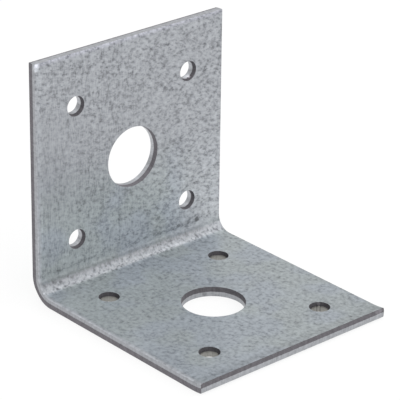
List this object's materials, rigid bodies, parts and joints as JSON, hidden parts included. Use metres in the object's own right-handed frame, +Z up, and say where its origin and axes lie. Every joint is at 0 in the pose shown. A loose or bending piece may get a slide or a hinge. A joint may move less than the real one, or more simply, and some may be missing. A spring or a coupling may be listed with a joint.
{
  "type": "angle bracket",
  "caption": "Right-angle bracket folded from galvanised sheet steel, with a large bolt hole and smaller nail holes in each leg, for fixing timber to timber or masonry.",
  "frame": {"origin": "centre of the lying leg's bolt hole, at the underside of the sheet", "axes": "+X towards the lying leg's free end, +Y along the fold, +Z up the upright leg"},
  "size_m": [0.0635, 0.06, 0.0635],
  "materials": {
    "galvanised_sheet": "hot-dip galvanised, mottled, semi-matt"
  },
  "bodies": {
    "root": {"angle_bracket": "galvanised_sheet"}
  },
  "joints": []
}
